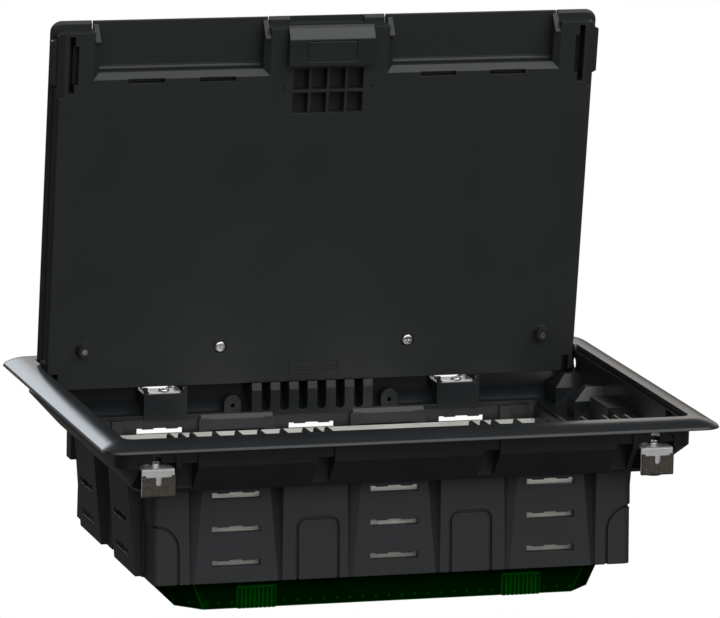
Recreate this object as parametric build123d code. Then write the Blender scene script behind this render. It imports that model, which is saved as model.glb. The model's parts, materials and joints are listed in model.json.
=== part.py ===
"""Floor socket box for a raised floor, 12 modules in three columns, lid shown open.

Millimetres. Origin: centre of the flange underside, which is the finished floor level.
X runs to the right, Y to the hinge side, Z up. Shown from the front left, lid open."""

import os
from math import cos, radians, sin

from build123d import *

# flange and opening
FLANGE_X, FLANGE_Y, FLANGE_TOP = 276.0, 199.0, 4.0
FLANGE_EDGE, FLANGE_LEAN, FLANGE_R = 1.1, 0.6, 9.0
LID_X, LID_GAP = 252.2, 0.4
LEDGE_Z = 1.2  # the lid's rim closes down onto this ledge
OPEN_X = LID_X / 2 + LID_GAP
OPEN_FRONT, OPEN_BACK = -87.2, 83.4
WALL = 2.0
IN_X, IN_Y, IN_R = 125.2, 83.7, 4.0  # inner faces of the upper walls and their corners
SKIRT_X, SKIRT_Y = 128.9, IN_Y + WALL
BREAK_Z, FOOT_Z = -9.8, -22.5  # skirt: vertical to BREAK_Z, then sloped in to FOOT_Z
FOOT_X, FOOT_Y = 117.5, 75.2

# lower box
COL_PITCH, COL_HALF = 70.9, 20.2
BODY_TOP = (108.5, -64.0, 70.2)  # half length, front, back at FOOT_Z
BODY_LOW = (108.5, -66.5, 72.7)  # the same at BODY_Z
BODY_Z = -65.7
BODY_WALL = 3.0
SLOT_W, SLOT_H, SLOT_STEP = 21.7, 2.9, 0.5
ROW_TOP, ROW_PITCH, ROWS = -26.3, 14.7, 3
COLUMNS = (-COL_PITCH, 0.0, COL_PITCH)
SIDE_COLUMNS = ((-28.55, 17.0, 18.65), (32.85, 17.5, 19.15))  # middle, half width above, below
SIDE_SLOTS = (-27.9, 33.9)
PAD_TOP_X, PAD_LOW_X = 114.8, 111.0
GROOVE_TOP, GROOVE_LOW = (19.4, 3.0, 4.5, 1.7), (19.9, 0.8, 1.2, 0.6)  # line, depth, gentle, steep
ARCH_X, ARCH_W, ARCH_TOP, ARCH_R = 34.5, 19.6, -38.6, 4.6
GROOVE, ARCH_DEPTH = 1.3, 1.6

# bottom dish
DISH_T, DISH_Z, DISH_CORNER = 1.8, -79.0, 10.4
DISH_TOP, DISH_LOW = (99.4, -60.0, 66.0), (93.8, -59.0, 65.0)  # half length, front, back
DISH_RIM_X, DISH_GAP = 105.2, 0.4
GRIP_X, GRIP_W, GRIP_RIBS, GRIP_R, GRIP_TOP = 59.9, 17.0, 9, 0.9, -69.4

# mounting plate
PLATE_T, PLATE_Z = 1.2, -28.0
PLATE_X, PLATE_Y0, PLATE_Y1, PLATE_LOW = 104.0, -59.7, 65.3, -60.5
MODULE_X, MODULE_Y, MODULE_CY = 45.4, 90.4, 3.0

# lid, in its own coordinates: x, v up the open lid from the hinge, w from skin to inner face
LID_ANGLE = 82.8  # open, measured from closed
PIN_V, PIN_W, PIN_R = -2.9, 2.8, 1.25
LID_FRONT = -86.8  # front edge of the closed lid
LID_TOP_V, LID_LOW_V = 158.2, -11.5
PIN_Y = LID_FRONT + LID_TOP_V - PIN_V
PIN_Z = FLANGE_TOP - PIN_W
RIM_T, LID_T = 2.6, 9.3
BODY_V0, BODY_V1, BODY_X = -11.2, LID_TOP_V - 3.5, 124.3
FACE_X = 123.0
BODY_SIDE_W = LID_T - 2.0  # the moulding's sides are upright to here, then bevelled to the face
FLAP_X0, FLAP_X1, FLAP_H, FLAP_GAP = 27.2, 107.0, 21.8, 0.7
HINGE_V, HINGE_W, HINGE_R = LID_TOP_V - FLAP_H, 2.2, 1.4
FLAP_V = HINGE_V - HINGE_R - 0.1
ROD_R, ROD_LEN = 0.7, FLAP_X1 - FLAP_X0 + 5
RECESS_X0, RECESS_X1, RECESS_V = FLAP_X0 + 2.7, FLAP_X1 - 2.1, HINGE_V - 0.4
BEVEL_X, BEVEL_W = 2.9, 2.2
TOOTH_W, TOOTH_DROP, TOOTH_ROOT, TOOTH_TIP = 2.4, 4.9, 4.1, 0.8
LATCH_HALF, LATCH_OUT, LATCH_H = 19.7, 4.1, 17.8
LATCH_V1 = LID_TOP_V - 2.2
LATCH_V0 = LATCH_V1 - LATCH_H
LATCH_TRAVEL = 4.0
STEM_HALF, STEM_W = 12.1, 4.2
CATCH_H, CATCH_X, CATCH_OUT, CATCH_TRAVEL = 22.5, 121.0, 126.4, 1.5
CATCH_V1 = LID_TOP_V - 6.2
CATCH_V0 = CATCH_V1 - CATCH_H
CATCH_W0, CATCH_W1 = 3.8, 6.6
GRID_PITCH, GRID_WALL, GRID_COLUMNS = 8.4, 1.3, 4
PEG_X, PEG_V, PEG_H, PEG_BORE, PEG_BORE_H = 107.2, 8.0, 4.1, 1.4, 2.4
SCREW_X, SCREW_V, LID_SCREW_R, LID_SCREW_H = 43.9, 7.1, 2.45, 1.7

# clamping claws
CLAW_X, CLAW_W, STEEL = 111.6, 14.3, 0.9
BACK_CLAW_X = 68.7
CLAW_Z, CLAW_LOW = -9.4, -21.4
CLAW_OUT = 88.8
BACK_DROP = 0.7  # the back claws sit lower, clear of the lid's lower edge
FRONT_SCREW_Y, BACK_SCREW_Y = -81.2, 70.9
CLAW_PLACES = [(s * x, y) for x, y in ((CLAW_X, FRONT_SCREW_Y), (BACK_CLAW_X, BACK_SCREW_Y)) for s in (-1, 1)]
SCREW_R, HEAD_R, FRONT_HEAD_H, BACK_HEAD_H = 1.75, 2.65, 1.9, 1.1

# cable combs
COMB_X, COMB_STEP, FIN = 67.5, 5.0, 1.0
COMB_TEETH = (0, 1, 2, 4, 6, 8, 10, 12, 13, 14)
FIN_BACK, FIN_TOP, FIN_LOW = -66.8, 1.8, -5.9
GAP_XS = (37.0, 97.4)
GAP_W, GAP_DEPTH = 7.4, 75.5


def block(x0, x1, y0, y1, z0, z1):
    return Pos((x0 + x1) / 2, (y0 + y1) / 2, (z0 + z1) / 2) * Box(x1 - x0, y1 - y0, z1 - z0)


def rounded(x, y0, y1, r, z):
    return Pos(0, (y0 + y1) / 2, z) * RectangleRounded(2 * x, y1 - y0, r)


def stack(sections, ruled=True):
    return loft([rounded(*s) for s in sections], ruled=ruled)


def prism(points, plane, amount):
    """A polygon drawn on a plane and extruded along its normal."""
    return extrude(plane * Polygon(*points, align=None), amount, dir=plane.z_dir)


def both(shape):
    """The shape and its mirror image across the middle plane."""
    return [shape, mirror(shape, Plane.YZ)]


def fuse(shapes):
    shapes = list(shapes)
    return shapes[0].fuse(*shapes[1:]) if len(shapes) > 1 else shapes[0]


def cut(shape, tools):
    return shape.cut(*list(tools))


def save(name, shape):
    solids = shape.solids()
    body = solids[0] if len(solids) == 1 else Compound(children=solids)
    export_step(body, f"parts/{name}.step")
    print(name, len(solids), round(sum(s.volume for s in solids)))


# upper frame

def skirt(x, y, fx, fy, top, brk, foot, r):
    return fuse([
        stack([(x, -y, y, r, top), (x, -y, y, r, brk)]),
        stack([(x, -y, y, r, brk), (fx, -fy, fy, r, foot)]),
    ])


def arch_profile(x0, x1, z0, z1, r, y0, y1):
    """Upright opening with rounded upper corners, cut along Y from y0 to y1."""
    tool = block(x0, x1, min(y0, y1), max(y0, y1), z0, z1)
    top = [e for e in tool.edges().filter_by(Axis.Y) if e.center().Z > (z0 + z1) / 2]
    return fillet(top, r)


def claw_pocket(x, side):
    """Liner box and the space cut from it for one claw; side is -1 in front, 1 behind."""
    half, t = CLAW_W / 2 + 1.15, 1.6
    if side < 0:
        liner = block(x - half - t, x + half + t, -SKIRT_Y, -70.3, FOOT_Z, -6.2)
        space = block(x - half, x + half, -95, -71.9, FOOT_Z + WALL, -7.6)
        mouth = arch_profile(x - half, x + half, FOOT_Z - 3, -3.2, 3.2, -95, -84.4)
        lower = block(x - half, x + half, -95, -79.9, FOOT_Z - 3, -7.6)
        hole = Pos(x, FRONT_SCREW_Y, -5) * Cylinder(HEAD_R + 1.1, 8)
        return [liner], [space, mouth, hole], [lower]
    x0, x1 = x - 10.0, x + 10.0
    liner = block(x0, x1, 66.7, SKIRT_Y, FOOT_Z, -10.6)
    cheeks = [block(a, a + t, 66.7, 68.1, -10.6, -7.6) for a in (x0, x1 - t)]
    space = block(x0 + t, x1 - t, 68.1, 95, FOOT_Z + WALL, -5)
    return [liner] + cheeks, [space], [block(x0 + t, x1 - t, 78.0, 95, FOOT_Z - 3, -8.2)]


def floor_bezel():
    """Flange, lid rebate, sloped skirt with its aprons, claw housings, lugs and back comb."""
    hx, hy = FLANGE_X / 2, FLANGE_Y / 2
    lean = FLANGE_LEAN
    flange = fuse([
        stack([(hx, -hy, hy, FLANGE_R, 0), (hx - lean, -hy + lean, hy - lean, FLANGE_R - lean, FLANGE_EDGE)]),
        stack([
            (hx - lean, -hy + lean, hy - lean, FLANGE_R - lean, FLANGE_EDGE),
            (hx - 5.0, -hy + 5.0, hy - 5.0, FLANGE_R - 3, FLANGE_EDGE + 2.2),
            (hx - 10.2, -hy + 10.6, hy - 10.6, FLANGE_R - 5, FLANGE_TOP),
        ], ruled=False),
    ])
    outer = skirt(SKIRT_X, SKIRT_Y, FOOT_X, FOOT_Y, 0, BREAK_Z, FOOT_Z, 8)
    floor_in = FOOT_Z + WALL
    inner = skirt(IN_X, IN_Y, FOOT_X - 3.4, FOOT_Y - 2.3, 6, BREAK_Z - 0.9, floor_in, IN_R)
    throat = stack([(106.4, -61.0, 67.3, 4, FOOT_Z - 1), (106.4, -61.0, 67.3, 4, 0)])
    rebate = block(-OPEN_X, OPEN_X, OPEN_FRONT, OPEN_BACK, LEDGE_Z, 8)
    front = [e for e in rebate.edges().filter_by(Axis.Z) if e.center().Y < 0]
    rebate = fillet(front, 4.5)
    body = cut(fuse([flange, outer]), [inner, throat, rebate])
    body = fuse([body, block(-SKIRT_X, SKIRT_X, OPEN_BACK, 88, 0, 3.4)])

    adds, cuts, late = [], [], []
    for x, y in CLAW_PLACES:
        liner, space, low = claw_pocket(x, -1 if y < 0 else 1)
        adds += liner
        cuts += space
        late += low
    for x in [g * m for g in GAP_XS for m in (-1, 1)]:
        x0, x1 = x - GAP_W / 2, x + GAP_W / 2
        adds.append(block(x0 - 1.3, x1 + 1.3, -SKIRT_Y, -GAP_DEPTH + 1.4, FOOT_Z, -6.6))
        cuts.append(block(x0, x1, -95, -GAP_DEPTH, -20.4, -8.0))
        for s in (-1, 1):
            y0, y1 = sorted((s * (SKIRT_Y - 1.2), s * 95))
            cuts.append(block(x0, x1, y0, y1, -12 if s < 0 else BREAK_Z, -0.6))
    cuts += side_gaps()
    adds += back_comb() + lugs() + wall_blocks()
    inside = fuse(adds).intersect(outer)
    body = cut(fuse([body] + list(inside.solids())), cuts + late)
    for x in (-CLAW_X, CLAW_X):
        body = body.fuse(Pos(x, FRONT_SCREW_Y, FOOT_Z + WALL / 2) * Cylinder(4, WALL))
    for x, y in CLAW_PLACES:
        body = body.cut(Pos(x, y, FOOT_Z) * Cylinder(SCREW_R + 0.06, 10))
    body = cut(body, hinge_cuts() + keeper_cuts())
    return fuse([body] + hinge_bosses())


def back_comb():
    """Seven teeth with sloped tops; the slots between them have round bottoms."""
    pitch, slot, floor = 8.7, 4.2, -20.4
    half = 3 * pitch + (pitch - slot) / 2
    side = Plane.YZ.offset(-half)
    crest = [(67.3, -10.9), (68.0, -7.5), (70.0, -8.6), (73.0, -9.4), (84.5, -9.4)]
    bar = prism([(67.3, FOOT_Z)] + crest + [(84.5, FOOT_Z)], side, 2 * half)
    tools = []
    for i in range(6):
        x = (i - 2.5) * pitch
        tools.append(block(x - slot / 2, x + slot / 2, 60, 80.5, floor + slot / 2, 0))
        tools.append(Pos(x, 70.25, floor + slot / 2) * Rot(90, 0, 0) * Cylinder(slot / 2, 20.5))
    return [cut(bar, tools)]


def lugs():
    """Two upright tabs with a round top and a small hole."""
    x, w, z = 36.8, 7.8, -16.9
    y0, y1 = 69.3, 74.6
    tab = block(x - w / 2, x + w / 2, y0, y1, FOOT_Z, z)
    tab = fuse([tab, Pos(x, (y0 + y1) / 2, z) * Rot(90, 0, 0) * Cylinder(w / 2, y1 - y0)])
    tab = tab.cut(Pos(x, 70.4, -17.8) * Rot(90, 0, 0) * Cylinder(1.0, 14))
    return both(tab)


def hip_block(x0, y0, y1, eave, ridge, x_ridge, ridge_y0, ridge_y1):
    """Block against the right end wall with a roof that slopes up to the wall."""
    x1 = IN_X + 1
    base = block(x0, x1, y0, y1, FOOT_Z, eave)
    foot = Pos((x0 + x1) / 2, (y0 + y1) / 2, eave) * Rectangle(x1 - x0, y1 - y0)
    head = Rectangle(x1 - x_ridge, ridge_y1 - ridge_y0)
    head = Pos((x_ridge + x1) / 2, (ridge_y0 + ridge_y1) / 2, ridge) * head
    return fuse([base, loft([foot, head], ruled=True)])


def wall_blocks():
    """Hipped and plain blocks on the inside of the end walls."""
    out = both(hip_block(112.4, 57.4, 75.0, -13.0, -7.7, 118.2, 63.2, 67.4))
    out += both(hip_block(111.3, 26.4, 37.2, -12.9, -6.9, 117.4, 29.6, 33.4))
    step = block(117.6, IN_X + 1, -16.0, -6.5, FOOT_Z, -10.9)
    corner = [e for e in step.edges().filter_by(Axis.Z) if e.center().X < 118 and e.center().Y < -10]
    step = fillet(corner, 3.0)
    return out + both(fuse([block(115.8, IN_X + 1, -6.5, 19.0, FOOT_Z, -8.9), step]))


def side_gaps():
    """Breaks in the end walls' outer skin, behind the hinge window and the long slit."""
    tools = []
    for y0, y1 in ((-11.5, 5.0), (67.5, 84.6)):
        tools += both(block(126.3, 140, y0, y1, -8.6, -0.6))
    return tools


def hinge_bosses():
    """The lid's pins sit in these; they fill the rebate beside the hinge."""
    round_part = Pos((IN_X + OPEN_X) / 2, PIN_Y, PIN_Z) * Rot(0, 90, 0) * Cylinder(3.9, OPEN_X - IN_X)
    tail = block(IN_X, OPEN_X, PIN_Y, OPEN_BACK + 1, LEDGE_Z - 0.4, FLANGE_TOP)
    boss = fuse([round_part, tail])
    boss = boss.cut(block(100, 150, 60, 90, FLANGE_TOP, 12))
    boss = boss.cut(Pos(123.5, PIN_Y, PIN_Z) * Rot(0, 90, 0) * Cylinder(PIN_R, 8))
    return both(boss)


def hinge_cuts():
    hole = Pos(123.5, PIN_Y, PIN_Z) * Rot(0, 90, 0) * Cylinder(PIN_R, 8)
    window = block(IN_X - 3, 140, 68.5, 74.4, -7.2, -2.0)
    window = fillet(window.edges().filter_by(Axis.X), 2.4)
    slit = block(IN_X - 3, 140, -10.2, -7.6, -8.6, -2.6)
    corner = block(IN_X - 5, IN_X, IN_Y - 5, IN_Y, -3.5, LEDGE_Z + 0.1)
    return both(hole) + both(window) + both(slit) + both(corner)


def keeper_cuts():
    """Pockets that the latch nose and the two side catches close into."""
    nose = block(-LATCH_HALF - 0.5, LATCH_HALF + 0.5, -85.0, -80, -10.0, -4.9)
    y0, y1 = LID_FRONT + LID_TOP_V - CATCH_V1 - 0.5, LID_FRONT + LID_TOP_V - CATCH_V0 + 0.5
    side = block(IN_X - 1, 127.0, y0, y1, -5.4, 0.7)
    notches = []
    for x in (RECESS_X1, RECESS_X0 - TOOTH_W):
        x0, x1 = x - 0.4, x + TOOTH_W + 0.4
        wide = block(x0, x1, -86.5, -IN_Y + 1, 0, LEDGE_Z + 0.1)
        deep = block(x0, x1, -85.3, -IN_Y + 1, -2.8, 0.1)
        notches += both(fuse([wide, deep]))
    return [nose] + both(side) + notches


def cable_comb(side):
    """Ten thin fins on a web along the front wall, below one cable flap."""
    half = 7 * COMB_STEP
    web = block(-half - 1.2, half + 1.2, -IN_Y, -IN_Y + 1.4, FIN_LOW, 0.8)
    shelf = block(-half - 1.2, half + 1.2, -IN_Y, -70.5, FIN_LOW, FIN_LOW + 1.2)
    fins = []
    for k in COMB_TEETH:
        x = k * COMB_STEP - half
        fin = block(x - FIN / 2, x + FIN / 2, -IN_Y, FIN_BACK, FIN_LOW, FIN_TOP)
        edge = [e for e in fin.edges().filter_by(Axis.X) if e.center().Z > 0 and e.center().Y > -70]
        fins.append(fillet(edge, 2.4))
    return Pos(side * COMB_X, 0, 0) * fuse([web, shelf] + fins)


# lower box

def slot_tool(length=16.0):
    """Slot with a castellated upper edge, centred on X, upper edge at Z = 0, cut along Y."""
    w, h, s = SLOT_W, SLOT_H, SLOT_STEP
    marks = [0.0, 0.12, 0.36, 0.64, 0.88, 1.0]
    xs = [m * w - w / 2 for m in marks]
    pts = [(xs[0], -h), (xs[0], 0)]
    for i, x in enumerate(xs[1:-1]):
        a, b = (0, -s) if i % 2 == 0 else (-s, 0)
        pts += [(x, a), (x, b)]
    pts += [(xs[-1], 0), (xs[-1], -h)]
    return prism(pts, Plane.XZ.offset(-length / 2), length)


def groove_tool(c, s):
    """V groove beside a front column: gentle towards the column, steep beyond, fading out below."""
    def tri(spec, y, z):
        line, depth, gentle, steep = spec
        k, x = (depth + 2.0) / depth, c + s * line
        corners = ((x - s * gentle * k, y - 2), (x + s * steep * k, y - 2), (x, y + depth))
        return Pos(0, 0, z) * make_face(Polyline(*corners, close=True).edges())
    top, low = tri(GROOVE_TOP, BODY_TOP[1], FOOT_Z - 0.2), tri(GROOVE_LOW, BODY_LOW[1], BODY_Z - 0.5)
    return loft([top, low], ruled=True)


def side_pad(spec, inset):
    """Leaning pad on the right end wall, or the hollow behind its skin where inset is the skin."""
    y, half_top, half_low = spec

    def section(z):
        k = (FOOT_Z - z) / (FOOT_Z - BODY_Z)
        x1 = PAD_TOP_X + (PAD_LOW_X - PAD_TOP_X) * k - inset
        half = half_top + (half_low - half_top) * k - inset
        x0 = BODY_TOP[0] - (BODY_WALL + 1 if inset else 1)
        return Pos((x0 + x1) / 2, y, z) * Rectangle(x1 - x0, 2 * half)
    return loft([section(FOOT_Z - inset), section(BODY_Z + inset * 0.7)], ruled=True)


def arch_groove(depth=1.0):
    """Outline of one knock-out arch, on the XZ plane in front of the wall."""
    def outline(grow):
        half = ARCH_W / 2 - grow
        return arch_profile(-half, half, BODY_Z - 2, ARCH_TOP - grow, ARCH_R - grow, -90, 0)
    return outline(0).cut(outline(GROOVE))


def box_body():
    """Lower box: leaning walls with slotted columns, knock-out arches and inner bars."""
    t = BODY_WALL
    top, low = BODY_TOP, BODY_LOW
    outer = stack([(top[0], top[1], top[2], 4, FOOT_Z), (low[0], low[1], low[2], 4, BODY_Z)])
    inner = stack([
        (top[0] - t, top[1] + t, top[2] - t + 0.1, 2.5, FOOT_Z + 1),
        (low[0] - t, low[1] + t, low[2] - t, 2.5, BODY_Z - 1),
    ])
    pads = []
    for x in [c + s * COL_HALF for c in COLUMNS for s in (-1, 1)]:
        pads.append(block(x - 2.6, x + 2.6, 65.8, 74, BODY_Z - 2, -21))
        pads.append(block(x - 2.6, x + 2.6, -70, -59.9, BODY_Z - 2, -21))
    trim = stack([(x - 1, y0 + 1, y1 - 1, 3, z) for (x, y0, y1), z in ((top, FOOT_Z), (low, BODY_Z))])
    pad = fuse(pads).intersect(trim)
    body = outer.cut(inner)
    side_pads = [p for c in SIDE_COLUMNS for p in both(side_pad(c, 0))]
    body = fuse([body] + pad.solids() + inner_bars() + side_pads)
    body = cut(body, [p for c in SIDE_COLUMNS for p in both(side_pad(c, t))])
    body = cut(body, wall_slots())
    body = cut(body, wall_grooves())
    body = cut(body, arches())
    high_rests, low_rests = ((-4, 9), (-57, -49), (54.5, 62)), ((-4, 9), (-56, -50), (56, 62))
    ledges = [block(100.5, 107.5, y0, y1, -33.5, PLATE_Z - PLATE_T) for y0, y1 in high_rests]
    ledges += [block(103.0, 106.5, y0, y1, BODY_Z + 1.8, PLATE_LOW) for y0, y1 in low_rests]
    keep = fuse([side for ledge in ledges for side in both(ledge)]).intersect(trim)
    body = fuse([body] + keep.solids())
    back = both(block(108.4, 115.4, 54.0, 62.0, -36.0, FOOT_Z))
    corner = both(block(107.6, 112, -70, -49, BODY_Z - 1, -39.7))
    return cut(fuse([body] + back), corner)


def inner_bars():
    """Bars along the inside of the front and back walls, with a chamfer along their upper edge."""
    bars = []
    for face, s in ((65.8, 1), (-59.5, -1)):
        a, b, c = face, face + s * 1.4, face + s * 3.5
        section = [(a, -27.9), (a, -22.9), (b, -20.7), (b, FOOT_Z), (c, FOOT_Z), (c, -27.9)]
        bars += both(prism(section, Plane.YZ.offset(18.8), 33.6))
    return bars


def wall_slots():
    tools = []
    for r in range(ROWS):
        z = ROW_TOP - r * ROW_PITCH
        for x in COLUMNS:
            tools.append(Pos(x, -64, z) * slot_tool())
            tools.append(Pos(x, 71, z) * slot_tool())
        for y in SIDE_SLOTS if r else ():
            tools += both(Pos(112, y, z) * Rot(0, 0, 90) * slot_tool(14))
    return tools


def wall_grooves():
    tools = []
    for c in COLUMNS:
        for s in (-1, 1):
            g = groove_tool(c, s)
            tools += [g, Pos(0, BODY_TOP[1] + BODY_TOP[2], 0) * mirror(g, Plane.XZ)]
    return tools


def arches():
    """Knock-out arches between columns and quarter arches round the corners."""
    shell_out = stack([(140, -95, 100, 4, FOOT_Z), (140, -95, 100, 4, BODY_Z - 2)])
    d = ARCH_DEPTH
    top, low = BODY_TOP, BODY_LOW
    shell_in = stack([
        (top[0] - d, top[1] + d, top[2] - d, 3.5, FOOT_Z),
        (low[0] - d, low[1] + d, low[2] - d, 3.5, BODY_Z),
        (low[0] - d, low[1] + d, low[2] - d, 3.5, BODY_Z - 2),
    ])
    band = shell_out.cut(shell_in)
    front = arch_groove()
    lines = []
    for x in (-ARCH_X, ARCH_X):
        lines += [Pos(x, y, 0) * front for y in (0, 90)]
    wide, quarter, high = 30.0, 11.0, ARCH_TOP - 1.0
    for y0, y1 in ((-90, BODY_TOP[1] + BODY_WALL), (BODY_TOP[2] - BODY_WALL, 90)):
        out = arch_profile(-wide / 2, wide / 2, BODY_Z - 2, high, quarter, y0, y1)
        half = wide / 2 - GROOVE
        core = arch_profile(-half, half, BODY_Z - 2, high - GROOVE, quarter - GROOVE, y0, y1)
        lines += both(Pos(96.1 + wide / 2, 0, 0) * out.cut(core))
    lines += [Pos(s * 110, 2.5, 0) * Rot(0, 0, 90 * s) * Pos(0, 45, 0) * front for s in (-1, 1)]
    tools = [solid for line in lines for solid in line.intersect(band).solids()]
    return tools + both(block(106, 112, -9.0, 3.6, BODY_Z - 3, -63.4))


def chamfered(spec, z, inset=0.0):
    """Rectangle with cut corners at height z, made smaller all round by the inset."""
    x, y0, y1 = spec[0] - inset, spec[1] + inset, spec[2] - inset
    c = DISH_CORNER - 0.6 * inset
    quarter = [(x - c, y0), (x, y0 + c), (x, y1 - c), (x - c, y1)]
    return Pos(0, 0, z) * Polygon(*quarter, *[(-a, b) for a, b in reversed(quarter)], align=None)


def base_dish():
    """Tapered bottom dish with a rim inside the walls and ribbed finger grips."""
    t, rim = DISH_T, BODY_Z + 0.2
    y0, y1 = BODY_LOW[1] + BODY_WALL + DISH_GAP, BODY_LOW[2] - BODY_WALL - DISH_GAP
    outer = fuse([
        loft([chamfered(DISH_TOP, rim + 1.2), chamfered(DISH_TOP, BODY_Z)], ruled=True),
        loft([chamfered(DISH_TOP, BODY_Z), chamfered(DISH_LOW, DISH_Z)], ruled=True),
    ])
    inner = fuse([
        loft([chamfered(DISH_TOP, rim + 4, t), chamfered(DISH_TOP, BODY_Z, t)], ruled=True),
        loft([chamfered(DISH_TOP, BODY_Z, t), chamfered(DISH_LOW, DISH_Z + t, t)], ruled=True),
    ])
    flange = stack([(DISH_RIM_X, y0, y1, 2, rim), (DISH_RIM_X, y0, y1, 2, rim + 1.5)])
    dish = fuse([outer, flange]).cut(inner)
    notches = []
    for x in [c + s * COL_HALF for c in COLUMNS for s in (-1, 1)]:
        notches.append(block(x - 3.0, x + 3.0, 65.4, 74, rim - 0.5, rim + 5))
        notches.append(block(x - 3.0, x + 3.0, -70, -59.5, rim - 0.5, rim + 5))
    dish = cut(dish, notches)
    ribs = []
    rib = Cylinder(GRIP_R, GRIP_TOP - DISH_Z, align=(Align.CENTER, Align.CENTER, Align.MIN))
    step = (GRIP_W - 2 * GRIP_R) / (GRIP_RIBS - 1)
    for gx in (-GRIP_X, GRIP_X):
        for i in range(GRIP_RIBS):
            x = gx - GRIP_W / 2 + GRIP_R + i * step
            ribs += [Pos(x, y, DISH_Z) * rib for y in (DISH_LOW[1] - 0.4, DISH_LOW[2] + 0.4)]
    return fuse([dish] + ribs)


def mounting_plate():
    """Bent sheet with three module openings; its front and back edges fold down."""
    r = 2.2
    outer = block(-PLATE_X, PLATE_X, PLATE_Y0, PLATE_Y1, PLATE_LOW, PLATE_Z)
    outer = fillet([e for e in outer.edges().filter_by(Axis.X) if e.center().Z > -40], r)
    y0, y1 = PLATE_Y0 + PLATE_T, PLATE_Y1 - PLATE_T
    inner = block(-PLATE_X - 1, PLATE_X + 1, y0, y1, PLATE_LOW - 1, PLATE_Z - PLATE_T)
    inner = fillet([e for e in inner.edges().filter_by(Axis.X) if e.center().Z > -40], r - PLATE_T)
    tools = [inner]
    y0, y1 = MODULE_CY - MODULE_Y / 2, MODULE_CY + MODULE_Y / 2
    for x in COLUMNS:
        tools.append(block(x - MODULE_X / 2, x + MODULE_X / 2, y0, y1, -40, -20))
        for dy in (-1, 1):
            tools.append(Pos(x, MODULE_CY + dy * (MODULE_Y / 2 + 5), PLATE_Z) * Cylinder(1.7, 8))
    for s in (-1, 1):
        tools.append(block(s * 35.45 - 8, s * 35.45 + 8, -70, 75, PLATE_LOW - 1, -46))
    return cut(outer, tools)


def earth_bracket():
    """Small strap on the front fold of the mounting plate."""
    y = PLATE_Y0
    strap = block(-6.2, 6.2, y - 0.8, y, -58.5, -36.5)
    return strap.cut(Pos(0, y, -52.6) * Rot(90, 0, 0) * Cylinder(1.6, 8))


# lid

def lid_place(shape):
    """Lid coordinates (x, v, w) to the open pose: x stays, v runs up, w faces the front."""
    place = Plane(origin=(0, PIN_Y, PIN_Z), x_dir=(1, 0, 0),
                  z_dir=(0, -sin(radians(LID_ANGLE)), -cos(radians(LID_ANGLE))))
    return place.location * Pos(0, -PIN_V, -PIN_W) * shape


def lid_rect(x, v0, v1, r, w):
    return Pos(0, (v0 + v1) / 2, w) * RectangleRounded(2 * x, v1 - v0, r)


def recess_tools():
    """Cable outlet of one side: bevelled through the inner moulding."""
    x0, x1, v = RECESS_X0, RECESS_X1, RECESS_V
    w1, w0 = LID_T, LID_T - BEVEL_W
    shaft = block(x0, x1, v, LID_TOP_V + 6.8, -1, 12)
    mid, end = (x0 + x1) / 2, LID_TOP_V + 16.8
    big = Pos(mid, (v - BEVEL_X + end) / 2, w1 + 0.001) * Rectangle(x1 - x0 + 2 * BEVEL_X, end - v + BEVEL_X)
    small = Pos(mid, (v + end) / 2, w0) * Rectangle(x1 - x0, end - v)
    bevel = loft([small, big], ruled=True)
    seat = block(FLAP_X0 - FLAP_GAP, FLAP_X1 + FLAP_GAP, FLAP_V - 0.35, end, -1, 3.0)
    v0, v1 = HINGE_V - HINGE_R - 0.15, HINGE_V + HINGE_R + 0.5
    barrel = block(FLAP_X0 - FLAP_GAP, FLAP_X1 + FLAP_GAP, v0, v1, -1, HINGE_W + HINGE_R + 0.4)
    rod = Pos((FLAP_X0 + FLAP_X1) / 2, HINGE_V, HINGE_W) * Rot(0, 90, 0) * Cylinder(ROD_R, ROD_LEN)
    return [t for s in (shaft, bevel, seat, barrel, rod) for t in both(s)]


def lid_cover():
    """Outer plate of the lid with a rounded rim."""
    hx = LID_X / 2
    plate = extrude(lid_rect(hx, LID_LOW_V, LID_TOP_V, 5, 0), RIM_T)
    plate = chamfer(plate.faces().sort_by(Axis.Z)[0].edges(), 0.5)
    plate = chamfer(plate.faces().sort_by(Axis.Z)[-1].edges(), 1.1)
    tools = recess_tools()
    tools += both(block(BODY_X, 140, -30, PIN_V + 4.3, -1, 4))
    tools.append(block(-17.1, 17.1, LID_TOP_V - 3.0, LID_TOP_V + 12, 1.2, 4))
    tools += both(Pos(124, PIN_V, PIN_W) * Rot(0, 90, 0) * Cylinder(PIN_R + 0.08, 16))
    tools.append(chamfer_frame())
    return cut(plate, tools)


def chamfer_frame():
    """Shallow line round the outer face."""
    big = extrude(lid_rect(118, -4, 128, 4, -0.1), 0.5)
    small = extrude(lid_rect(117, -3, 127, 3, -0.2), 0.8)
    return big.cut(small)


def lid_base():
    """Inner moulding: bevelled block with outlets, grid pockets, slots and pockets."""
    shoulder = lid_rect(BODY_X - 0.3, BODY_V0 + 0.1, BODY_V1 + 0.1, 3, BODY_SIDE_W)
    outer = loft([lid_rect(BODY_X, BODY_V0, BODY_V1 + 0.2, 3, RIM_T), shoulder], ruled=True)
    cap = loft([shoulder, lid_rect(FACE_X, BODY_V0 + 0.45, BODY_V1, 3, LID_T)], ruled=True)
    tools = recess_tools() + catch_tools() + latch_tools() + face_marks()
    tools += both(block(118.4, 121.6, -20, PIN_V - 0.5, 4.4, 12))
    tools += both(Pos(124, PIN_V, PIN_W) * Rot(0, 90, 0) * Cylinder(PIN_R + 0.08, 16))
    teeth, clear = outlet_teeth()
    return fuse([cut(outer.fuse(cap), tools + clear)] + teeth)


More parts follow.
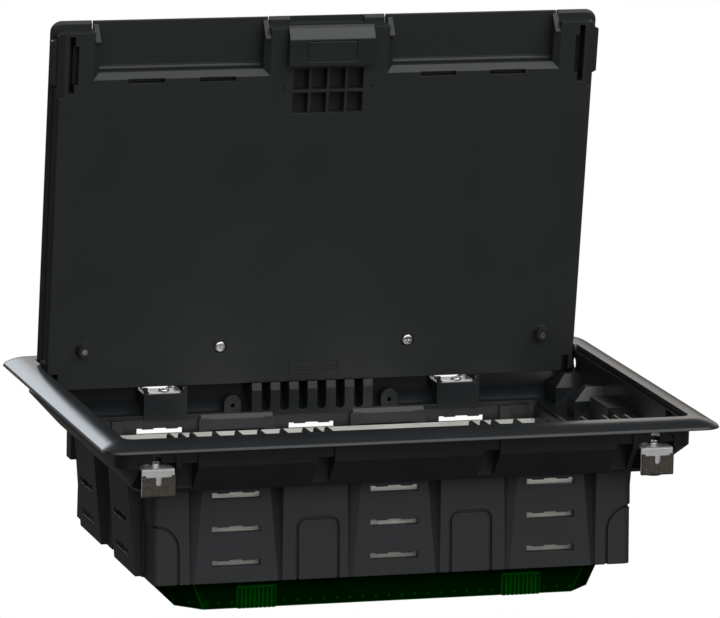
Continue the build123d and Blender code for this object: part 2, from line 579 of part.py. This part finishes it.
def catch_tools():
    """Window, spring slots and slanted side round each side catch."""
    v0, v1 = CATCH_V0, CATCH_V1
    tools = both(block(CATCH_X - 4.6, CATCH_X - 2.0, v0 - 2.5, v1 + 1.1, RIM_T - 1, 12))
    tools += both(block(CATCH_X - 6.3, CATCH_X - 4.5, v0 + 1.5, v1 - 3.4, 5.0, 12))
    inner = CATCH_X - CATCH_TRAVEL - 0.3
    tools += both(block(inner, 130, v0 - 0.4, v1 + 0.4, CATCH_W0 - 0.2, CATCH_W1 + 0.15))
    slant = [(CATCH_X, LID_T), (BODY_X + 0.3, 7.0), (126, 7.0), (126, 12), (CATCH_X, 12)]
    return tools + both(prism(slant, Plane.XZ.offset(-BODY_V1 - 1), 30.7))


def latch_tools():
    """Slot for the latch stem and the grid of pockets below it."""
    v0, v1 = LATCH_V0 + 3.0 - LATCH_TRAVEL - 0.3, LATCH_V1 - 5.0 + 0.2
    half = STEM_HALF + 0.2
    tools = [block(-half, half, v0, v1, STEM_W - 0.2, 12)]
    pocket = (GRID_PITCH - GRID_WALL) / 2
    for i in range(GRID_COLUMNS):
        x = (i - (GRID_COLUMNS - 1) / 2) * GRID_PITCH
        for v0, v1 in ((LATCH_V0 - 22.8, LATCH_V0 - 13.3), (LATCH_V0 - 12.0, LATCH_V0 - 2.2)):
            tools.append(block(x - pocket, x + pocket, v0, v1, 3.4, 12))
    return tools


def face_marks():
    """Slits under the outlets, two dots, screw seats and the empty label field."""
    tools = []
    for x in (42.8, 75.3):
        tools += both(block(x, x + 16.5, RECESS_V - 4.8, RECESS_V - 2.8, 6.0, 12))
    for x in (-20.5, 20.5):
        tools.append(Pos(x, LATCH_V0 - 10.9, LID_T) * Cylinder(0.45, 3))
    for x in (-SCREW_X, SCREW_X):
        tools.append(Pos(x, SCREW_V, LID_T) * Cylinder(LID_SCREW_R + 0.65, 1.6))
    label = extrude(lid_rect(11.6, -6.3, -1.6, 0.5, LID_T - 0.35), 3)
    return tools + [label.cut(extrude(lid_rect(11.2, -5.9, -2.0, 0.4, LID_T - 1), 5))]


def outlet_teeth():
    """Sloped teeth beside each outlet, and the space cleared in front of their slopes."""
    back, root, tip = BODY_V1 - TOOTH_DROP, BODY_V1 - TOOTH_ROOT, LID_TOP_V - TOOTH_TIP
    end = LID_TOP_V + 7.8
    slope = [(tip, 3.2), (root, LID_T)]
    teeth, clear = [], []
    for x0 in (RECESS_X1, RECESS_X0 - TOOTH_W):
        plane = Plane.YZ.offset(x0)
        teeth += both(prism([(back, 3.2)] + slope + [(back, LID_T)], plane, TOOTH_W))
        clear += both(prism(slope + [(root, 13), (end, 13), (end, 3.2)], plane, TOOTH_W + 0.1))
    return teeth, clear


def cable_flap(side):
    """Flap with a hinge barrel along its lower edge, on two stub journals."""
    panel = block(FLAP_X0, FLAP_X1, HINGE_V, LID_TOP_V, 0.45, 1.8)
    panel = fillet([e for e in panel.edges().filter_by(Axis.X) if e.center().Y > 150], 0.4)
    axis = Pos((FLAP_X0 + FLAP_X1) / 2, HINGE_V, HINGE_W) * Rot(0, 90, 0)
    flap = fuse([panel, axis * Cylinder(HINGE_R, FLAP_X1 - FLAP_X0)])
    flap = flap.cut(axis * Cylinder(ROD_R + 0.05, 100))
    return flap if side > 0 else mirror(flap, Plane.YZ)


def flap_pin(side):
    """Steel rod through the barrel; its ends sit in the lid moulding."""
    rod = Pos((FLAP_X0 + FLAP_X1) / 2, HINGE_V, HINGE_W) * Rot(0, 90, 0) * Cylinder(ROD_R, ROD_LEN)
    return rod if side > 0 else mirror(rod, Plane.YZ)


def latch_slider():
    """Sliding latch: thumb block with a sloped nose and a stem guided in the moulding."""
    out, bend = LID_T + LATCH_OUT, LATCH_V1 - 5.4
    foot = [(LATCH_V0, LID_T), (LATCH_V0, out), (bend, out)]
    lip = [(LATCH_V1 - 1.0, LID_T + 0.9), (LATCH_V1, LID_T + 0.5), (LATCH_V1, LID_T)]
    nose = prism(foot + lip, Plane.YZ.offset(-LATCH_HALF), 2 * LATCH_HALF)
    nose = fillet([e for e in nose.edges().filter_by(Axis.X) if abs(e.center().Y - bend) < 0.2], 1.2)
    v0, v1 = LATCH_V0 + 2.0, bend - 0.8
    frame = extrude(lid_rect(11.7, v0, v1, 0.8, out - 0.3), 2)
    frame = frame.cut(extrude(lid_rect(11.2, v0 + 0.5, v1 - 0.5, 0.6, out - 1), 4))
    stem = block(-STEM_HALF, STEM_HALF, LATCH_V0 + 3.0, LATCH_V1 - 5.0, STEM_W, LID_T + 0.1)
    return nose.cut(frame).fuse(stem)


def side_catch(side):
    """Snap catch at the lid's side, rounded where it rubs on the frame."""
    bar = block(CATCH_X, CATCH_OUT, CATCH_V0, CATCH_V1, CATCH_W0, CATCH_W1)
    ends = [e for e in bar.edges().filter_by(Axis.Z) if e.center().X > CATCH_OUT - 1]
    bar = chamfer(ends, 1.6, 3.5)
    lip = [e for e in bar.edges().filter_by(Axis.Y) if e.center().X > CATCH_OUT - 1]
    bar = fillet(lip, 0.9)
    return bar if side > 0 else mirror(bar, Plane.YZ)


def buffer_peg(x):
    cone = Cone(3.6, 2.85, PEG_H, align=(Align.CENTER, Align.CENTER, Align.MIN))
    ring = Cylinder(3.75, 0.5, align=(Align.CENTER, Align.CENTER, Align.MIN))
    hole = Cylinder(PEG_BORE, 6, align=(Align.CENTER, Align.CENTER, Align.MIN))
    hole = Pos(0, 0, PEG_H - PEG_BORE_H) * hole
    return Pos(x, PEG_V, LID_T) * fuse([cone, ring]).cut(hole)


def buffer_rivet(x):
    rivet = Cylinder(PEG_BORE, PEG_BORE_H - 0.5, align=(Align.CENTER, Align.CENTER, Align.MIN))
    return Pos(x, PEG_V, LID_T + PEG_H - PEG_BORE_H) * rivet


def pan_head(r, h):
    """Pan head with a cross recess, standing on Z = 0."""
    head = Cylinder(r, h, align=(Align.CENTER, Align.CENTER, Align.MIN))
    head = fillet(head.faces().sort_by(Axis.Z)[-1].edges(), h * 0.55)
    arms = [Pos(0, 0, h) * Rot(0, 0, a) * Box(r * 1.1, r * 0.28, h * 0.9) for a in (0, 90)]
    return cut(head, arms)


def lid_screws():
    out = []
    for x in (-SCREW_X, SCREW_X):
        out.append(Pos(x, SCREW_V, LID_T - 0.8) * pan_head(LID_SCREW_R, LID_SCREW_H))
    return Compound(children=[s for o in out for s in o.solids()])


def hinge_pin(side):
    """Axle of the lid with a strip that runs down the inside of the frame."""
    pin = Pos(123.15, PIN_Y, PIN_Z) * Rot(0, 90, 0) * Cylinder(PIN_R, 8.7)
    leg = block(IN_X - 0.6, IN_X, PIN_Y + 0.5, 77.0, -9.6, PIN_Z)
    foot = block(IN_X - 0.6, IN_X, 70.6, 77.0, -9.6, -7.4)
    pin = fuse([pin, leg, foot])
    return pin if side > 0 else mirror(pin, Plane.YZ)


# claws

def claw_z(side):
    """Height of a claw's top plate, in front for a negative side and behind for a positive one."""
    return CLAW_Z - (BACK_DROP if side > 0 else 0)


def claw(x, side):
    """Bent steel claw: plate under the screw head, a leg down and a notched outer leaf."""
    half, s = CLAW_W / 2, STEEL
    plate_z = claw_z(side)
    near = (-72.6 if side < 0 else 68.6) * side
    leg = CLAW_OUT - 2 * s - 0.8
    top = block(-half, half, near, leg + s, plate_z - s, plate_z)
    inner = block(-half, half, leg, leg + s, CLAW_LOW, plate_z)
    web = block(-half, half, leg, CLAW_OUT, CLAW_LOW, CLAW_LOW + s)
    leaf = block(-half, half, CLAW_OUT - s, CLAW_OUT, CLAW_LOW, -12.0)
    bent = fuse([top, inner, web, leaf])
    bends = bent.edges().filter_by(Axis.X)
    corner = [e for e in bends if e.center().Z > plate_z - 0.1 and e.center().Y > leg + s - 0.1]
    corner += [e for e in bends if e.center().Z < CLAW_LOW + 0.1 and e.length > 5]
    bent = fillet(corner, 0.8)
    notch = block(-1.35, 1.35, CLAW_OUT - s - 0.3, CLAW_OUT + 1, -15.2, -10)
    round_end = Pos(0, CLAW_OUT, -15.2) * Rot(90, 0, 0) * Cylinder(1.35, 2 * s + 0.6)
    ears = ((-half + 1.4, 2.2), (-2.2, half - 1.4))
    dips = [block(a, b, CLAW_OUT - s - 0.3, CLAW_OUT + 1, -12.9, -10) for a, b in ears]
    if side > 0:
        dips.append(block(-half + 1.0, half - 1.0, 76.0, CLAW_OUT + 1, -12.2, plate_z + 1))
    screw_y = abs(FRONT_SCREW_Y) if side < 0 else BACK_SCREW_Y
    hole = Pos(0, screw_y, plate_z) * Cylinder(SCREW_R + 0.06, 6)
    bent = cut(bent, [notch, round_end, hole] + dips)
    if side < 0:
        bent = mirror(bent, Plane.XZ)
    return Pos(x, 0, 0) * bent


def claw_screw(x, y):
    z, height = claw_z(y), FRONT_HEAD_H if y < 0 else BACK_HEAD_H
    shank = Cylinder(SCREW_R, z - FOOT_Z - 0.1, align=(Align.CENTER, Align.CENTER, Align.MAX))
    shank = Pos(0, 0, z) * shank
    return Pos(x, y, 0) * fuse([shank, Pos(0, 0, z) * pan_head(HEAD_R, height)])


def main():
    os.makedirs("parts", exist_ok=True)
    save("floor_bezel", floor_bezel())
    save("box_body", box_body())
    save("base_dish", base_dish())
    save("mounting_plate", mounting_plate())
    save("earth_bracket", earth_bracket())
    for name, side in (("left", -1), ("right", 1)):
        save(f"cable_comb_{name}", cable_comb(side))
        save(f"cable_flap_{name}", lid_place(cable_flap(side)))
        save(f"flap_pin_{name}", lid_place(flap_pin(side)))
        save(f"side_catch_{name}", lid_place(side_catch(side)))
        save(f"buffer_peg_{name}", lid_place(buffer_peg(side * PEG_X)))
        save(f"hinge_pin_{name}", hinge_pin(side))
        save(f"claw_front_{name}", claw(side * CLAW_X, -1))
        save(f"claw_back_{name}", claw(side * BACK_CLAW_X, 1))
        save(f"screw_front_{name}", claw_screw(side * CLAW_X, FRONT_SCREW_Y))
        save(f"screw_back_{name}", claw_screw(side * BACK_CLAW_X, BACK_SCREW_Y))
    rivets = [lid_place(buffer_rivet(s * PEG_X)) for s in (-1, 1)]
    save("buffer_rivets", Compound(children=[s for r in rivets for s in r.solids()]))
    save("lid_cover", lid_place(lid_cover()))
    save("lid_base", lid_place(lid_base()))
    save("latch_slider", lid_place(latch_slider()))
    save("lid_screws", lid_place(lid_screws()))


main()
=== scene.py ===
import json
import math

import bpy
import bmesh
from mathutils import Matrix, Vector


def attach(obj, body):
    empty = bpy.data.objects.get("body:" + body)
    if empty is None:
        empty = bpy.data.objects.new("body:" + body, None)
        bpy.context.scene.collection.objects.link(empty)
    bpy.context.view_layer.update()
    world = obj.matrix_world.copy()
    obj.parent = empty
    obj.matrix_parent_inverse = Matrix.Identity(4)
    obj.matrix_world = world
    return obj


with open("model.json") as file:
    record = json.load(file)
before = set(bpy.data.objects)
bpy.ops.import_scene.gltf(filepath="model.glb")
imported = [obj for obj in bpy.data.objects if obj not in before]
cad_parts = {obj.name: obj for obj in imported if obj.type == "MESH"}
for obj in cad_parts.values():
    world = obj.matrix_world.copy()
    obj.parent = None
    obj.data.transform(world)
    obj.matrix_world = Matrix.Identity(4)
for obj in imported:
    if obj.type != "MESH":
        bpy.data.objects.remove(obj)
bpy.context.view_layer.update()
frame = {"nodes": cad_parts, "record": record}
MM = 0.001


def srgb(r, g, b):
    """Scene-linear colour of a 0-255 screen colour."""
    def lin(c):
        c /= 255.0
        return c / 12.92 if c <= 0.04045 else ((c + 0.055) / 1.055) ** 2.4
    return (lin(r), lin(g), lin(b), 1.0)


def tone(c, k):
    return (c[0] * k, c[1] * k, c[2] * k, 1.0)


class Nodes:
    """Short helper for building a node tree."""

    def __init__(self, tree):
        self.tree = tree
        self.tree.nodes.clear()

    def add(self, kind, **values):
        node = self.tree.nodes.new(kind)
        for key, value in values.items():
            setattr(node, key, value)
        return node

    def link(self, a, b):
        self.tree.links.new(a, b)

    def feed(self, socket, value):
        if hasattr(value, "is_output"):
            self.link(value, socket)
        else:
            socket.default_value = value

    def math(self, op, a, b=0.0):
        m = self.add("ShaderNodeMath", operation=op)
        self.feed(m.inputs[0], a)
        self.feed(m.inputs[1], b)
        return m.outputs[0]

    def vector(self, op, a, b=None, scale=None):
        m = self.add("ShaderNodeVectorMath", operation=op)
        self.feed(m.inputs[0], a)
        if b is not None:
            self.feed(m.inputs[1], b)
        if scale is not None:
            self.feed(m.inputs["Scale"], scale)
        return m.outputs["Value"] if op == "DOT_PRODUCT" else m.outputs[0]

    def axis(self, vector, index):
        sep = self.add("ShaderNodeSeparateXYZ")
        self.link(vector, sep.inputs[0])
        return sep.outputs[index]

    def span(self, value, low, high):
        """0 at low to 1 at high, smooth between."""
        m = self.add("ShaderNodeMapRange", interpolation_type="SMOOTHSTEP")
        m.inputs["From Min"].default_value = low
        m.inputs["From Max"].default_value = high
        self.feed(m.inputs["Value"], value)
        return m.outputs[0]


# materials

GRAIN_DEPTH = 0.06 * MM
BRUSH_DEPTH = 0.05 * MM
RIPPLE_DEPTH = 0.2 * MM
PLASTIC_EDGE = 0.35 * MM
SHEET_EDGE = 0.15 * MM
CLAW_EDGE = 0.12 * MM
DISH_EDGE = 1.0 * MM
CLAW_SPLIT = 87.5 * MM
STUB_PITCH = 5.9 * MM
STUB_Z = -76.4 * MM
STUB_RADIUS = (0.2 * MM, 0.8 * MM)


class Material(Nodes):
    """Node tree of a new material with one principled shader."""

    def __init__(self, name):
        self.mat = bpy.data.materials.new(name)
        self.mat.use_nodes = True
        super().__init__(self.mat.node_tree)
        out = self.add("ShaderNodeOutputMaterial")
        self.bsdf = self.add("ShaderNodeBsdfPrincipled")
        self.link(self.bsdf.outputs[0], out.inputs["Surface"])

    def set(self, socket, value):
        self.feed(self.bsdf.inputs[socket], value)

    def coords(self, scale=(1, 1, 1)):
        tc = self.add("ShaderNodeTexCoord")
        mp = self.add("ShaderNodeMapping")
        mp.inputs["Scale"].default_value = scale
        self.link(tc.outputs["Object"], mp.inputs["Vector"])
        return mp.outputs[0]

    def noise(self, vector, scale, detail=3.0, rough=0.6):
        n = self.add("ShaderNodeTexNoise")
        n.inputs["Scale"].default_value = scale
        n.inputs["Detail"].default_value = detail
        n.inputs["Roughness"].default_value = rough
        self.link(vector, n.inputs["Vector"])
        return n.outputs["Fac"]

    def ramp(self, fac, stops):
        r = self.add("ShaderNodeValToRGB")
        els = r.color_ramp.elements
        while len(els) > 1:
            els.remove(els[-1])
        els[0].position, els[0].color = stops[0]
        for pos, col in stops[1:]:
            els.new(pos).color = col
        self.link(fac, r.inputs["Fac"])
        return r.outputs["Color"]

    def spread(self, fac, low, high):
        m = self.add("ShaderNodeMapRange")
        m.inputs["To Min"].default_value = low
        m.inputs["To Max"].default_value = high
        self.link(fac, m.inputs["Value"])
        return m.outputs[0]

    def bump(self, fac, strength, distance, normal):
        b = self.add("ShaderNodeBump")
        b.inputs["Strength"].default_value = strength
        b.inputs["Distance"].default_value = distance
        self.link(fac, b.inputs["Height"])
        self.link(normal, b.inputs["Normal"])
        return b.outputs[0]

    def mix(self, fac, a, b):
        m = self.add("ShaderNodeMix", data_type="RGBA")
        self.link(fac, m.inputs[0])
        self.link(a, m.inputs[6])
        self.link(b, m.inputs[7])
        return m.outputs[2]

    def soft_edge(self, radius):
        b = self.add("ShaderNodeBevel", samples=4)
        b.inputs["Radius"].default_value = radius
        return b.outputs[0]


def plastic(name, colour, rough):
    """Moulded plastic: fine grain, slight cloudiness, edges softened by a small radius."""
    n = Material(name)
    co = n.coords()
    cloud = n.noise(co, 38.0, 4.0)
    fine = n.noise(co, 2600.0, 2.0)
    n.set("Base Color", n.ramp(cloud, [(0.3, tone(colour, 0.86)), (0.7, tone(colour, 1.14))]))
    n.set("Roughness", n.spread(fine, rough - 0.05, rough + 0.07))
    n.set("Normal", n.bump(fine, 0.12, GRAIN_DEPTH, n.soft_edge(PLASTIC_EDGE)))
    return n.mat


def metal(name, colour, rough, stretch=(1, 1, 1), metallic=1.0):
    """Sheet metal with a brushed grain, drawn out along one direction by stretch."""
    n = Material(name)
    brush = n.noise(n.coords(stretch), 900.0, 4.0, 0.7)
    cloud = n.noise(n.coords(), 60.0, 3.0)
    n.set("Base Color", n.ramp(cloud, [(0.3, tone(colour, 0.82)), (0.7, tone(colour, 1.08))]))
    n.set("Roughness", n.spread(brush, rough - 0.08, rough + 0.14))
    n.set("Normal", n.bump(brush, 0.25, BRUSH_DEPTH, n.soft_edge(SHEET_EDGE)))
    n.set("Metallic", metallic)
    return n.mat


def two_tone(name, split):
    """Bent claw sheet: bright zinc, with a brown grainy coat on what lies further out than the split."""
    n = Material(name)
    co = n.coords()
    out = n.math("GREATER_THAN", n.math("ABSOLUTE", n.axis(co, 1)), split)
    grain = n.noise(co, 2300.0, 2.0, 0.8)
    zinc = n.ramp(n.noise(co, 150.0), [(0.3, (0.78, 0.78, 0.77, 1)), (0.7, (0.95, 0.95, 0.94, 1))])
    brown = n.ramp(grain, [
        (0.32, (0.035, 0.028, 0.022, 1)),
        (0.5, (0.085, 0.07, 0.058, 1)),
        (0.68, (0.2, 0.17, 0.145, 1)),
    ])
    n.set("Base Color", n.mix(out, zinc, brown))
    n.set("Metallic", n.spread(out, 0.25, 0.5))
    n.set("Roughness", n.spread(out, 0.28, 0.5))
    n.set("Normal", n.bump(grain, 0.3, BRUSH_DEPTH, n.soft_edge(CLAW_EDGE)))
    return n.mat


def clear_green(name, pitch, row_z):
    """Dark clear green with a painted highlight: lighter green painted along edges and ribs where light
    gathers, with a row of inner stubs showing through.
    """
    n = Material(name)
    co = n.coords()
    soft = n.soft_edge(DISH_EDGE)
    flatness = n.vector("DOT_PRODUCT", soft, n.add("ShaderNodeNewGeometry").outputs["Normal"])
    # painted highlight: the base colour turns lighter green along edges and ribs, standing in for light
    # gathered in the clear plastic
    edge = n.span(n.math("SUBTRACT", 1.0, flatness), 0.01, 0.16)
    across = n.math("PINGPONG", n.axis(co, 0), pitch / 2)
    up = n.math("SUBTRACT", n.axis(co, 2), row_z)
    away = n.math("SQRT", n.math("ADD", n.math("MULTIPLY", across, across), n.math("MULTIPLY", up, up)))
    stub = n.math("SUBTRACT", 1.0, n.span(away, *STUB_RADIUS))
    cloud = n.span(n.noise(co, 70.0, 5.0, 0.7), 0.55, 0.75)
    light = n.math("ADD", n.math("ADD", edge, n.math("MULTIPLY", stub, 0.25)), n.math("MULTIPLY", cloud, 0.1))
    n.set("Base Color", n.ramp(light, [
        (0.0, (0.0, 0.010, 0.0003, 1)),
        (0.35, (0.0, 0.075, 0.002, 1)),
        (1.0, (0.001, 0.19, 0.005, 1)),
    ]))
    n.set("Roughness", n.spread(n.noise(co, 500.0), 0.2, 0.3))
    n.set("Normal", n.bump(n.noise(co, 140.0), 0.08, RIPPLE_DEPTH, soft))
    n.set("Specular IOR Level", 0.0)
    return n.mat


MATS = {
    "frame_plastic": plastic("frame_plastic", srgb(29, 31, 33), 0.30),
    "body_plastic": plastic("body_plastic", srgb(38, 39, 41), 0.45),
    "lid_plastic": plastic("lid_plastic", srgb(31, 33, 34), 0.5),
    "latch_plastic": plastic("latch_plastic", srgb(36, 38, 39), 0.36),
    "comb_plastic": plastic("comb_plastic", srgb(28, 29, 30), 0.42),
    "green_clear": clear_green("green_clear", STUB_PITCH, STUB_Z),
    "sheet_steel": metal("sheet_steel", (0.93, 0.91, 0.84), 0.42, (0.05, 1, 1), 0.15),
    "claw_steel": two_tone("claw_steel", CLAW_SPLIT),
    "brown_steel": metal("brown_steel", (0.30, 0.26, 0.22), 0.40),
    "bright_steel": metal("bright_steel", (0.86, 0.86, 0.85), 0.22),
    "rubber_black": plastic("rubber_black", srgb(26, 27, 28), 0.5),
}

for sub in frame["record"]["subparts"]:
    obj = frame["nodes"][sub["node"]]
    obj.data.materials.clear()
    obj.data.materials.append(MATS[sub["material_slot"]])


# small pieces

BODIES = frame["record"]["behaviour"]["bodies"]
FRAME_BODY = next(name for name, nodes in BODIES.items() if "floor_bezel" in nodes)

RIB_PITCH = 2.1 * MM
RIB_PROUD = 0.22 * MM
RIB_SUNK = 0.05 * MM
RIB_SHARE = 0.45
REBATE_X = 126.5 * MM
REBATE_Y = (-82.0 * MM, 78.0 * MM)
REBATE_Z = (1.35 * MM, 3.4 * MM)


def add_block(bm, x0, x1, y0, y1, z0, z1):
    corners = [bm.verts.new((x, y, z)) for z in (z0, z1) for x, y in ((x0, y0), (x1, y0), (x1, y1), (x0, y1))]
    for face in ((3, 2, 1, 0), (4, 5, 6, 7), (0, 1, 5, 4), (1, 2, 6, 5), (2, 3, 7, 6), (3, 0, 4, 7)):
        bm.faces.new([corners[i] for i in face])


def finish_piece(bm, name, body, slot):
    bmesh.ops.recalc_face_normals(bm, faces=bm.faces)
    mesh = bpy.data.meshes.new(name)
    bm.to_mesh(mesh)
    bm.free()
    piece = bpy.data.objects.new(name, mesh)
    bpy.context.scene.collection.objects.link(piece)
    piece.data.materials.append(MATS[slot])
    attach(piece, body)


def rebate_ribs(side):
    """Fine upright ribs on the side wall of the lid's rebate."""
    bm = bmesh.new()
    count = int((REBATE_Y[1] - REBATE_Y[0]) / RIB_PITCH)
    wall = side * (REBATE_X + RIB_SUNK)
    face = side * (REBATE_X - RIB_PROUD)
    for i in range(count):
        y = REBATE_Y[0] + i * RIB_PITCH
        add_block(bm, *sorted((wall, face)), y, y + RIB_SHARE * RIB_PITCH, *REBATE_Z)
    finish_piece(bm, "rebate_ribs_" + ("left" if side < 0 else "right"), FRAME_BODY, "frame_plastic")


for side in (-1, 1):
    rebate_ribs(side)


# camera

EYE = Vector((-764.985, -2601.52, 572.287)) * MM
AIM = Vector((3.172, 5.1, 37.716)) * MM
ROLL = math.radians(1.16)
LENS = 313.86
SENSOR = 36.0
CLIP = (0.1, 20.0)


def add_camera():
    fwd = (AIM - EYE).normalized()
    right = fwd.cross(Vector((0, 0, 1))).normalized()
    up = right.cross(fwd)
    c, s = math.cos(ROLL), math.sin(ROLL)
    right2, up2 = right * c + up * s, up * c - right * s
    cam = bpy.data.objects.new("camera", bpy.data.cameras.new("camera"))
    bpy.context.scene.collection.objects.link(cam)
    m = cam.matrix_world
    for i in range(3):
        m[i][0], m[i][1], m[i][2], m[i][3] = right2[i], up2[i], -fwd[i], EYE[i]
    cam.matrix_world = m
    cam.data.lens = LENS
    cam.data.sensor_fit = "HORIZONTAL"
    cam.data.sensor_width = SENSOR
    cam.data.clip_start, cam.data.clip_end = CLIP
    bpy.context.scene.camera = cam


# light

# radiance of the sky by height band and side, as seen by reflections and shading
SKY = {
    ("floor", "all"): (0.08, 0.08, 0.08),
    ("haze", "front"): (0.97, 0.97, 0.97),
    ("haze", "right"): (0.1, 0.1, 0.1),
    ("haze", "back"): (0.05, 0.05, 0.05),
    ("haze", "left"): (0.02, 0.02, 0.02),
    ("low", "front"): (1.5, 1.52, 1.54),
    ("low", "right"): (0.22, 0.2, 0.18),
    ("low", "back"): (1.84, 1.74, 1.66),
    ("low", "glow"): (2.2, 2.6, 3.0),
    ("low", "left"): (0.02, 0.02, 0.02),
    ("mid", "front"): (2.5, 2.53, 2.56),
    ("mid", "right"): (0.15, 0.15, 0.15),
    ("mid", "back"): (0.1, 0.1, 0.1),
    ("mid", "glow"): (0.18, 0.2, 0.22),
    ("mid", "left"): (0.03, 0.03, 0.03),
    ("top", "front"): (0.4, 0.4, 0.4),
    ("top", "right"): (0.12, 0.12, 0.12),
    ("top", "back"): (0.22, 0.22, 0.22),
    ("top", "left"): (0.1, 0.1, 0.1),
    ("zenith", "all"): (0.2, 0.2, 0.2),
}
# sine of the height over which each band above the floor fades in, and takes over from the one below
RISES = {
    "haze": (-0.06, 0.02),
    "low": (0.12, 0.24),
    "mid": (0.38, 0.56),
    "top": (0.76, 0.86),
    "zenith": (0.88, 0.95),
}
# the glow is a soft window in the sky behind the object, a little to the left
GLOW_LEFT = (-0.5, -0.3)
GLOW_RIGHT = (-0.08, 0.27)
GLOW_BACK = (0.2, 0.6)

KEY_AT = (1.1, -0.66, 1.76)
KEY_AIM = (0, 0, 0.05)
KEY_SIZE = 0.9
KEY_POWER = 12.5


def add_key():
    light = bpy.data.lights.new("key", "AREA")
    light.shape = "RECTANGLE"
    light.size, light.size_y = KEY_SIZE, KEY_SIZE
    light.energy = KEY_POWER
    key = bpy.data.objects.new("key", light)
    bpy.context.scene.collection.objects.link(key)
    key.location = KEY_AT
    key.rotation_euler = (Vector(KEY_AIM) - Vector(KEY_AT)).to_track_quat("-Z", "Y").to_euler()


def sky_colour(k):
    """Sum of soft bands and sides of the sky, each with its own radiance."""
    direction = k.add("ShaderNodeTexCoord").outputs["Generated"]
    height = k.axis(direction, 2)
    level = k.vector("NORMALIZE", k.vector("MULTIPLY", direction, (1, 1, 0)))
    rises = [1.0] + [k.span(height, *edges) for edges in RISES.values()] + [0.0]
    bands = {name: k.math("SUBTRACT", rises[i], rises[i + 1]) for i, name in enumerate(["floor", *RISES])}
    across, back = k.axis(level, 0), k.axis(level, 1)
    left_of_end = k.math("SUBTRACT", 1.0, k.span(across, *GLOW_RIGHT))
    window = k.math("MULTIPLY", k.span(across, *GLOW_LEFT), left_of_end)
    sides = {"all": 1.0, "glow": k.math("MULTIPLY", window, k.span(back, *GLOW_BACK))}
    facing = {"right": (across, 1.0), "left": (across, -1.0), "back": (back, 1.0), "front": (back, -1.0)}
    for name, (value, sign) in facing.items():
        part = k.math("MAXIMUM", k.math("MULTIPLY", value, sign), 0.0)
        sides[name] = k.math("MULTIPLY", part, part)
    total = None
    for (band, side), colour in SKY.items():
        term = k.vector("SCALE", colour, scale=k.math("MULTIPLY", bands[band], sides[side]))
        total = term if total is None else k.vector("ADD", total, term)
    return total


def add_world():
    """The fitted sky for shading and reflections, plain white for the camera."""
    world = bpy.data.worlds.new("studio")
    bpy.context.scene.world = world
    world.use_nodes = True
    k = Nodes(world.node_tree)
    out = k.add("ShaderNodeOutputWorld")
    mix = k.add("ShaderNodeMixShader")
    path = k.add("ShaderNodeLightPath")
    white = k.add("ShaderNodeBackground")
    soft = k.add("ShaderNodeBackground")
    white.inputs[0].default_value = (1, 1, 1, 1)
    k.link(sky_colour(k), soft.inputs[0])
    k.link(path.outputs["Is Camera Ray"], mix.inputs[0])
    k.link(soft.outputs[0], mix.inputs[1])
    k.link(white.outputs[0], mix.inputs[2])
    k.link(mix.outputs[0], out.inputs["Surface"])


add_camera()
add_world()
add_key()

scene = bpy.context.scene
scene.view_settings.view_transform = "Standard"
